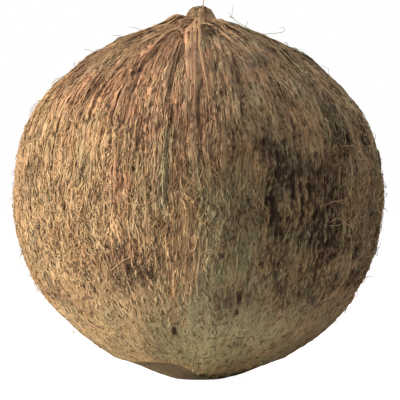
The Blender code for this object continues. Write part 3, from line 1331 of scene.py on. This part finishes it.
@dataclass
class Knot:
    """The stub over the eyes, where the coir was gathered and torn off.

    Attributes:
        growth: How the coat grew.
        surface: The coat, which the straps climb from.
        middle: The stub's middle.
        size: Half its width, depth and height.
        boxy: How square its outline is. 2 is a ball.
        flare: How much wider it is at its foot.
        foot: How far from the axis the straps leave the coat.
        others: How many straps there are besides the front ones.
        other_points: Points along each of those.
        front_points: Points along each front one.
        climb: How many of a strap's points are on the stub.
        wraps: How many fibres are wound round the stub.
        wrap_points: Points along each of those.
        front_straps: The broad straps at the front.
    """

    growth: Growth
    surface: Surface
    middle: tuple[float, float, float] = (0.6 * MM, 0.0, 115.9 * MM)
    size: tuple[float, float, float] = (4.0 * MM, 3.9 * MM, 4.3 * MM)
    boxy: float = 2.7
    flare: float = 0.25
    foot: float = 7.6 * MM
    others: int = 44
    other_points: int = 22
    front_points: int = 34
    climb: int = 6
    wraps: int = 110
    wrap_points: int = 16
    front_straps: tuple[FrontStrap, ...] = (
        FrontStrap(1.4, 1.28, ((-3.3, 113.6), (-3.4, 109), (-3.3, 104), (-3.1, 97), (-2.7, 86))),
        FrontStrap(1.2, 1.10, ((-2.2, 113.4), (-2.3, 109.5), (-2.3, 104.5), (-2.1, 98), (-1.7, 88))),
        FrontStrap(1.4, 1.20, ((-1, 113.8), (-1.1, 110), (-1.3, 106), (-1.3, 100), (-0.9, 91))),
        FrontStrap(1.0, 1.25, ((-0.2, 112), (0.1, 109), (0.5, 106), (1.2, 101), (2, 92))),
        FrontStrap(1.2, 0.90, ((1.9, 113.8), (4.4, 112.4), (7.6, 110), (11, 106.6), (14, 101.5))),
        FrontStrap(1.1, 0.95, ((-3.9, 113.6), (-6.6, 112), (-10, 109.6), (-13.6, 106), (-17, 101))),
    )
    _lump: Ripple = field(default_factory=lambda: Ripple(33))

    def build(self) -> list[bpy.types.Object]:
        """Shapes the stub, then lays the straps that climb onto it and the fibres wound round it."""
        grain = CoirGrain(
            fine=(0.10, 1.2 * MM), coarse=(0.25, 2.5 * MM), gap=(0.12, 0.9 * MM), sway=0.8 * MM
        )
        stub = self._stub()
        stub.data.materials.append(CoatFinish(grain=grain, specks=0.4).material("gathered_coir"))
        wraps = self._wraps()
        wraps.data.materials.append(StrandFinish(grain=grain).material("wound_coir"))
        long_grain = CoirGrain(
            fine=(0.03, 4.0 * MM), coarse=(0.05, 5.0 * MM), gap=(0.03, 2.5 * MM), sway=0.8 * MM, pits=0.4
        )
        drawn = StrandFinish(grain=long_grain).material("drawn_coir")
        straps = [self._straps(), self._front()]
        for piece in straps:
            piece.data.materials.append(drawn)
        return [stub, *straps, wraps]

    def _on_stub(self, out: np.ndarray, away: float | np.ndarray) -> np.ndarray:
        """Points on the stub, or over it, in these directions from its middle."""
        level, rise = np.hypot(out[..., 0], out[..., 1]), np.abs(out[..., 2])
        reach = (level**self.boxy + rise**self.boxy) ** (-1.0 / self.boxy)
        wide = 1.0 + self.flare * smooth_step(-out[..., 2], -0.55, 0.15)
        width, depth, height = self.size
        size = np.stack([width * wide, depth * wide, height * np.ones_like(wide)], axis=-1)
        return np.array(self.middle) + out * (reach * away)[..., None] * size

    def _stub(self) -> bpy.types.Object:
        """A flat-topped lump drawn into folds that meet at its top."""
        start_piece()
        bpy.ops.mesh.primitive_uv_sphere_add(segments=128, ring_count=80, radius=1.0, calc_uvs=False)
        stub = bpy.context.object
        stub.name = stub.data.name = "knot_stub"
        out = unit(read_points(stub.data))
        turn = np.arctan2(out[:, 1], out[:, 0])
        folds = self._lump.at(round_the_nut(turn + 0.9 * out[:, 2], out[:, 2], 0.30, 0.8))
        over = self._lump.at(out * np.array([1.4, 3.0, 4.6]) + 12.0)
        lumps = self._lump.at(out * 1.7 + 20.0)
        away = 1.0 + 0.10 * folds * (1.0 - out[:, 2] ** 4) + 0.10 * lumps + 0.08 * over
        write_points(stub.data, self._on_stub(out, away))
        bpy.ops.object.shade_smooth()
        count = len(stub.data.vertices)
        # Painted shade in the stub's folds: they are drawn towards the gaps' dark colour.
        write_values(stub.data, "depth", np.clip(0.35 - 1.2 * folds - 1.0 * over, 0.0, 0.8))
        write_values(stub.data, "bare", np.zeros(count))
        write_values(stub.data, "shade", np.full(count, 0.9))
        write_values(stub.data, "tints", np.tile([0.35, 0.55, 0.3], (count, 1)))
        return stub

    def _straps(self) -> bpy.types.Object:
        """Straps of fibre from the crown up onto the stub, all round it."""
        draw = np.random.default_rng(201)
        count, points = self.others, self.other_points
        turn = TAU * (np.arange(count) + draw.uniform(-0.4, 0.4, count)) / count
        reach = draw.uniform(14 * MM, 34 * MM, count)
        share = np.linspace(0.0, 1.0, points - self.climb)[None]
        radius = reach[:, None] * (1.0 - share) + self.foot * share
        turn = turn[:, None] + 0.05 * np.sin(radius / (4 * MM) + turn[:, None] * 7.0)
        places, outward = self.surface.at(turn, self.surface.fall_at(radius))
        places = places + outward * 0.3 * MM
        climb_places, climb_outward = self._climb(turn[:, -1], draw)
        places = np.concatenate([places, climb_places], axis=1)
        outward = np.concatenate([outward, climb_outward], axis=1)
        share = np.linspace(0.0, 1.0, points)
        shape = smooth_step(share, 0.0, 0.3) * (1.0 - 0.45 * smooth_step(share, 0.6, 1.0))
        half = draw.uniform(0.9 * MM, 1.6 * MM, (count, 1)) / 2.0 * (0.15 + 0.85 * shape)
        shade = draw.uniform(0.78, 1.02, (count, 1)) * (1.0 + 0.06 * draw.normal(size=half.shape))
        hues = draw.normal(0.0, 0.12, (count, 3)) - np.array([0.0, 0.2, 0.2])
        bundle = Bundle(places, outward, half, np.maximum(half * 0.3, 0.2 * MM), shade, hues)
        return bundle.mesh("knot_straps", Section.STRAP, self.growth)

    def _front(self) -> bpy.types.Object:
        """The broad straps at the front, from the stub's side down over the crown."""
        draw = np.random.default_rng(203)
        points = self.front_points
        rows = []
        for strap in self.front_straps:
            x, height = np.array(strap.path).T * MM
            share = np.linspace(1.0, 0.0, points - self.climb) * (len(x) - 1)
            x, height = (np.interp(share, np.arange(len(x)), part) for part in (x, height))
            turn, fall = self.surface.facing(x, height)
            places, outward = self.surface.at(turn, fall)
            lift = 0.2 * MM + 0.6 * MM * smooth_step(np.linspace(0.0, 1.0, len(places)), 0.0, 0.6)
            places = self._settle(places) + outward * lift[:, None]
            on_stub, off_stub = self._climb(turn[-1:], draw)
            rows.append((np.concatenate([places, on_stub[0]]), np.concatenate([outward, off_stub[0]])))
        places, outward = (np.stack(part) for part in zip(*rows))
        share = np.linspace(0.0, 1.0, points)
        shape = smooth_step(share, 0.0, 0.25) * (1.0 - 0.25 * smooth_step(share, 0.75, 1.0))
        half = np.array([[strap.width * MM / 2.0] for strap in self.front_straps]) * (0.12 + 0.88 * shape)
        half = half * (1.0 + 0.06 * draw.normal(size=half.shape))
        shade = np.array([[strap.shade] for strap in self.front_straps])
        shade = shade * (1.0 + 0.05 * draw.normal(size=half.shape))
        hues = np.tile([-0.1, -0.5, -0.5], (len(half), 1))
        bundle = Bundle(places, outward, half, np.maximum(half * 0.3, 0.2 * MM), shade, hues)
        return bundle.mesh("front_straps", Section.STRAP, self.growth)

    @staticmethod
    def _settle(places: np.ndarray) -> np.ndarray:
        """Draws a strap's points level with their neighbours, as a taut strap spans small hollows."""
        for _ in range(3):
            places = np.concatenate(
                [places[:1], (places[:-2] + 2.0 * places[1:-1] + places[2:]) / 4.0, places[-1:]]
            )
        return places

    def _climb(self, turn: np.ndarray, draw: np.random.Generator) -> tuple[np.ndarray, np.ndarray]:
        """The last points of each strap, up the side of the stub.

        Args:
            turn: The angle at which each strap reaches the stub.
            draw: Where the random numbers come from.

        Returns:
            The points, and the outward direction at each.
        """
        top = draw.uniform(0.35, 0.85, (len(turn), 1))
        rise = 0.08 + np.linspace(0.0, 1.0, self.climb)[None] * (top - 0.08)
        spread = np.sqrt(1.0 - rise**2)
        turn = turn[:, None] + rise * 0.3
        out = np.stack([spread * np.cos(turn), spread * np.sin(turn), rise], axis=-1)
        return self._on_stub(out, 1.07), out

    def _wraps(self) -> bpy.types.Object:
        """Fibres wound loosely round the stub."""
        draw = np.random.default_rng(202)
        count, points = self.wraps, self.wrap_points
        start = draw.uniform(0.0, TAU, (count, 1))
        reach = draw.uniform(0.5, 2.2, (count, 1))
        turn = start + reach * np.linspace(0.0, 1.0, points)[None]
        tilt = draw.normal(0.0, 0.5, (count, 1)) * np.sin(turn + draw.uniform(0.0, TAU, (count, 1)))
        rise = np.clip(draw.uniform(0.0, 0.95, (count, 1)) + tilt, -0.2, 0.97)
        spread = np.sqrt(1.0 - rise**2)
        out = np.stack([spread * np.cos(turn), spread * np.sin(turn), rise], axis=-1)
        centres = self._on_stub(out, draw.uniform(1.0, 1.09, (count, 1)))
        arch = np.sin(math.pi * np.linspace(0.0, 1.0, points))[None] ** 0.5
        half = draw.uniform(0.2 * MM, 0.5 * MM, (count, 1)) * (0.3 + 0.7 * arch)
        shade = draw.uniform(0.6, 0.95, (count, 1)) * np.ones((1, points))
        hues = draw.normal(0.0, 0.2, (count, 3)) + np.array([0.1, 0.3, 0.1])
        bundle = Bundle(centres, out, half, half * 0.6, shade, hues)
        return bundle.mesh("knot_wraps", Section.FIBRE, self.growth)


@dataclass(frozen=True)
class Hair:
    """One loose hair.

    Attributes:
        thickness: How thick it is, in millimetres.
        path: The points that it runs through, in millimetres.
    """

    thickness: float
    path: tuple[tuple[float, float, float], ...]


@dataclass(frozen=True)
class LaidHair:
    """One loose hair that lies on the front of the coat.

    Attributes:
        thickness: How thick it is, in millimetres.
        lift: How high it lies over the coat, in millimetres.
        path: The points that it runs through, as x and height, in millimetres.
    """

    thickness: float
    lift: float
    path: tuple[tuple[float, float], ...]


@dataclass
class LooseHairs:
    """The few hairs that stand clear of the coat, each with its own place.

    Attributes:
        growth: How the coat grew, for their tints.
        surface: The coat, which the long fibre lies on.
        long_fibre: The long pale fibre down the front.
        free_end: The end of it that stands clear above the knot, in millimetres.
        tip: How thick a hair's end is, as a share of its thickness.
        laid: The pale hairs that lie across the coat.
        dark_laid: The dark ones.
        hairs: The hairs outside the outline.
    """

    growth: Growth
    surface: Surface
    long_fibre: LaidHair = LaidHair(
        0.32,
        0.9,
        (
            (1.6, 115.4), (0.7, 112.9), (-0.1, 110.4), (0, 108),
            (0.6, 103.4), (1.6, 98.3), (2.6, 92.8), (3.1, 87),
        ),
    )
    free_end: tuple[tuple[float, float, float], ...] = (
        (1.7, -3.0, 123.4), (1.6, -4.0, 121.4), (1.5, -5.2, 118.6),
    )
    tip: float = 0.5
    laid: tuple[LaidHair, ...] = (
        LaidHair(0.26, 0.5, ((17.6, 58.4), (18.8, 57), (20.6, 54.6))),
        LaidHair(0.22, 0.5, ((24.8, 78.6), (24.9, 77), (25.6, 75.8))),
        LaidHair(0.24, 0.6, ((43.6, 74.2), (45.4, 74), (47.6, 74.4))),
        LaidHair(0.24, 0.6, ((38.6, 56.4), (40.8, 57.4), (43, 57.2), (45.6, 58.6))),
        LaidHair(0.26, 0.7, ((39.6, 51), (42, 52.8), (44.6, 50.6), (47.4, 49.2), (47, 47))),
        LaidHair(0.24, 0.8, ((43.4, 54.6), (44, 50.8), (43.2, 47.4), (44.6, 44.2))),
        LaidHair(0.22, 0.7, ((46.8, 53.2), (44.4, 51), (41.4, 49.8), (39.2, 50.2))),
        LaidHair(0.26, 0.6, ((46.6, 42.6), (46.9, 39), (45.6, 34.6), (43.8, 31.6))),
        LaidHair(0.24, 0.5, ((16.8, 40), (17.8, 37.6), (19, 36.2), (18.8, 34.8))),
        LaidHair(0.24, 0.5, ((26.4, 34.6), (28.8, 32.4), (31.2, 30.2))),
        LaidHair(0.24, 0.5, ((-26.4, 36.4), (-24, 38.6), (-21.6, 40.2), (-18.6, 41.4))),
        LaidHair(0.22, 0.5, ((-29, 41.4), (-27.4, 38.6), (-26.8, 35.4), (-25.8, 32.8))),
        LaidHair(0.24, 0.5, ((-21.6, 57), (-18.2, 56.2), (-14.8, 56.6), (-12, 58.8))),
        LaidHair(0.22, 0.5, ((2.2, 35.6), (2.9, 32.4), (6, 31.2), (8.2, 32.6))),
    )
    dark_laid: tuple[LaidHair, ...] = (
        LaidHair(0.20, 0.6, ((-47, 54), (-42, 53.8), (-37.4, 53.9))),
        LaidHair(0.18, 0.5, ((-33, 74.6), (-30.4, 76.4), (-28.8, 75.6))),
    )
    hairs: tuple[Hair, ...] = (
        Hair(
            0.16,
            ((24, -2, 109), (17.5, -2.5, 112.4), (12.8, -3, 115), (10.6, -3, 116.8), (9.4, -3.2, 118.6)),
        ),
        Hair(0.13, ((10.6, -3, 116.8), (11.2, -2.6, 118.8), (10.9, -2.4, 120.6))),
        Hair(0.24, ((9.9, -3, 117), (10.7, -3, 116.5), (11.5, -3, 116.6))),
        Hair(
            0.15,
            ((20.5, -1, 111.4), (26, -2, 111.6), (28.2, -2, 112.4), (27.6, -2, 113.8), (26, -2, 113.4)),
        ),
        Hair(0.18, ((-23, 0, 110), (-25.6, -1, 111.4), (-28, -1, 111))),
        Hair(0.16, ((-33, 0, 105), (-35.2, -1, 106.6), (-37.4, -1, 106.4))),
        Hair(0.16, ((-18, -1, 112.4), (-20.6, -1.5, 113.8), (-22.4, -1.5, 113.6))),
        Hair(0.20, ((-56.5, 0, 41), (-58.4, -1, 39.4), (-57.6, -1, 38))),
        Hair(0.20, ((58.6, 0, 55.5), (60.6, -1, 55.2), (61.4, -1, 54))),
        Hair(0.16, ((14, 0, 113), (16.2, -0.5, 114.9), (16, -0.5, 115.8))),
        Hair(0.16, ((54, 0, 33), (56.4, -0.5, 32.6), (57.2, -0.5, 33.6))),
    )

    def build(self) -> list[bpy.types.Object]:
        """Draws the hairs as curves and makes them meshes."""
        long_fibre = self._laid(self.long_fibre)
        whole = Hair(long_fibre.thickness, self.free_end + long_fibre.path)
        return [
            self._piece("long_fibre", [whole], 1.35),
            self._piece("laid_hairs", [self._laid(hair) for hair in self.laid], 1.3),
            self._piece("dark_hairs", [self._laid(hair) for hair in self.dark_laid], 0.45),
            self._piece("loose_hairs", self.hairs, 0.8),
        ]

    def _laid(self, hair: LaidHair) -> Hair:
        """Lays a hair onto the front of the coat."""
        x, height = np.array(hair.path).T * MM
        places, outward = self.surface.at(*self.surface.facing(x, height))
        places = (places + outward * (hair.lift * MM)) / MM
        return Hair(hair.thickness, tuple(tuple(float(part) for part in place) for place in places))

    def _piece(self, name: str, hairs: Sequence[Hair], shade: float) -> bpy.types.Object:
        """Makes one mesh of some hairs.

        Args:
            name: The piece's name.
            hairs: The hairs.
            shade: How light they are.

        Returns:
            The new object.
        """
        start_piece()
        curve = bpy.data.curves.new(name, "CURVE")
        curve.dimensions = "3D"
        curve.resolution_u = 6
        curve.bevel_depth = 1.0
        curve.bevel_resolution = 1
        curve.use_fill_caps = True
        for hair in hairs:
            spline = curve.splines.new("NURBS")
            spline.points.add(len(hair.path) - 1)
            spline.order_u = 3
            spline.use_endpoint_u = True
            for place, (point, spot) in enumerate(zip(spline.points, hair.path)):
                point.co = (spot[0] * MM, spot[1] * MM, spot[2] * MM, 1.0)
                share = self.tip if place == len(hair.path) - 1 else 1.0
                point.radius = hair.thickness * MM / 2.0 * share
        piece = bpy.data.objects.new(name, curve)
        bpy.context.scene.collection.objects.link(piece)
        select_only(piece)
        bpy.ops.object.convert(target="MESH")
        piece = bpy.context.object
        piece.name = piece.data.name = name
        bpy.ops.object.shade_smooth()
        count = len(piece.data.vertices)
        write_values(piece.data, "shade", np.full(count, shade))
        write_values(piece.data, "tints", np.tile([0.1, 0.1, 0.0], (count, 1)))
        piece.data.materials.append(StrandFinish().material(name + "_coir"))
        return piece


# --------------------------------------------------------------------------------------------
# The studio
# --------------------------------------------------------------------------------------------


@dataclass(frozen=True)
class Lamp:
    """One square soft light that faces the nut.

    Attributes:
        name: Its name.
        turn: Where it stands, in degrees round the nut. -90 is the front.
        rise: How high it stands, in degrees above level.
        size: The length of its side.
        power: Its power, in watts.
        colour: Its colour.
        away: How far from the nut it stands.
    """

    name: str
    turn: float
    rise: float
    size: float
    power: float
    colour: str
    away: float = 0.85

    def build(self, aim: Vector) -> None:
        """Adds the light, facing the point that it is aimed at."""
        turn, rise = math.radians(self.turn), math.radians(self.rise)
        out = Vector((math.cos(rise) * math.cos(turn), math.cos(rise) * math.sin(turn), math.sin(rise)))
        bpy.ops.object.light_add(type="AREA", location=aim + out * self.away)
        lamp = bpy.context.object
        lamp.name = self.name
        lamp.data.size = self.size
        lamp.data.energy = self.power
        lamp.data.color = linear(self.colour)[:3]
        lamp.rotation_euler = (-out).to_track_quat("-Z", "Y").to_euler()


@dataclass
class Studio:
    """A pale floor, soft light from the left and from behind, and a level camera at the front.

    Attributes:
        lamps: The lights.
        sky_light: How strongly the sky lights the nut. The camera sees it white.
        floor_glow: How strongly the floor glows where the camera sees it.
        lens: The camera's lens, in millimetres.
        frame_width: How wide the picture is at the nut's middle.
        aim: The point at the picture's middle.
    """

    lamps: tuple[Lamp, ...] = (
        Lamp("key", -169.0, 5.0, 0.45, 15.6, "#FFFAEE"),
        Lamp("top", -110.0, 82.0, 0.45, 5.0, "#FFFFFF"),
        Lamp("back", 30.0, 30.0, 0.50, 1.4, "#FFFFFF"),
    )
    sky_light: float = 0.08
    floor_glow: float = 0.96
    lens: float = 200.0
    frame_width: float = 129.7 * MM
    aim: tuple[float, float, float] = (0.5 * MM, 0.0, 57.72 * MM)

    def build(self) -> None:
        """Adds the floor, the lights, the sky and the camera."""
        self._floor()
        for lamp in self.lamps:
            lamp.build(Vector(self.aim))
        self._sky()
        self._camera()

    def _floor(self) -> None:
        """A wide white floor. The camera sees it glow a little, so that it meets the sky unseen."""
        start_piece()
        bpy.ops.mesh.primitive_plane_add(size=20.0, location=(0.0, 0.0, -0.05 * MM))
        floor = bpy.context.object
        floor.name = "floor"
        material, tree = empty_material("white_floor")
        seen = add_node(tree, "ShaderNodeLightPath").outputs["Is Camera Ray"]
        links = {
            "Base Color": (0.8, 0.8, 0.8, 1.0),
            "Roughness": 0.9,
            "Emission Color": WHITE,
            "Emission Strength": calculate(tree, "MULTIPLY", seen, self.floor_glow),
        }
        shader = add_node(tree, "ShaderNodeBsdfPrincipled", links)
        add_node(tree, "ShaderNodeOutputMaterial", {"Surface": shader.outputs[0]})
        floor.data.materials.append(material)

    def _sky(self) -> None:
        """White all round, dimmer as light than as seen, so that the lamps still shape the nut."""
        world = bpy.data.worlds.new("studio_white")
        world.use_nodes = True
        tree = world.node_tree
        tree.nodes.clear()
        seen = add_node(tree, "ShaderNodeLightPath").outputs["Is Camera Ray"]
        strength = ranged(tree, seen, self.sky_light, 1.0)
        sky = add_node(tree, "ShaderNodeBackground", {"Color": WHITE, "Strength": strength})
        add_node(tree, "ShaderNodeOutputWorld", {"Surface": sky.outputs[0]})
        bpy.context.scene.world = world

    def _camera(self) -> None:
        """A long lens at the height of the nut's middle."""
        away = self.frame_width * self.lens / SENSOR_WIDTH
        aim = Vector(self.aim)
        place = aim + Vector((0.0, -away, 0.0))
        bpy.ops.object.camera_add(location=place, rotation=(math.pi / 2.0, 0.0, 0.0))
        camera = bpy.context.object
        camera.data.lens = self.lens
        camera.data.sensor_width = SENSOR_WIDTH
        camera.data.clip_start = 0.01
        bpy.context.scene.camera = camera


def main() -> None:
    """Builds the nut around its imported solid, then the studio."""
    logging.basicConfig(level=logging.INFO, format="%(name)s: %(message)s")
    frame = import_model()
    growth = Growth()

    coat, surface = Coat(growth).build(frame["nodes"][NODE])
    coat.data.materials.append(CoatFinish().material("matted_coir"))
    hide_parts(NODE)
    hand_over(coat)
    for part in (StrandCover(growth, surface), Knot(growth, surface), LooseHairs(growth, surface)):
        for piece in part.build():
            hand_over(piece)

    Studio().build()
    bpy.context.scene.view_settings.view_transform = "Standard"


if __name__ == "__main__":
    main()
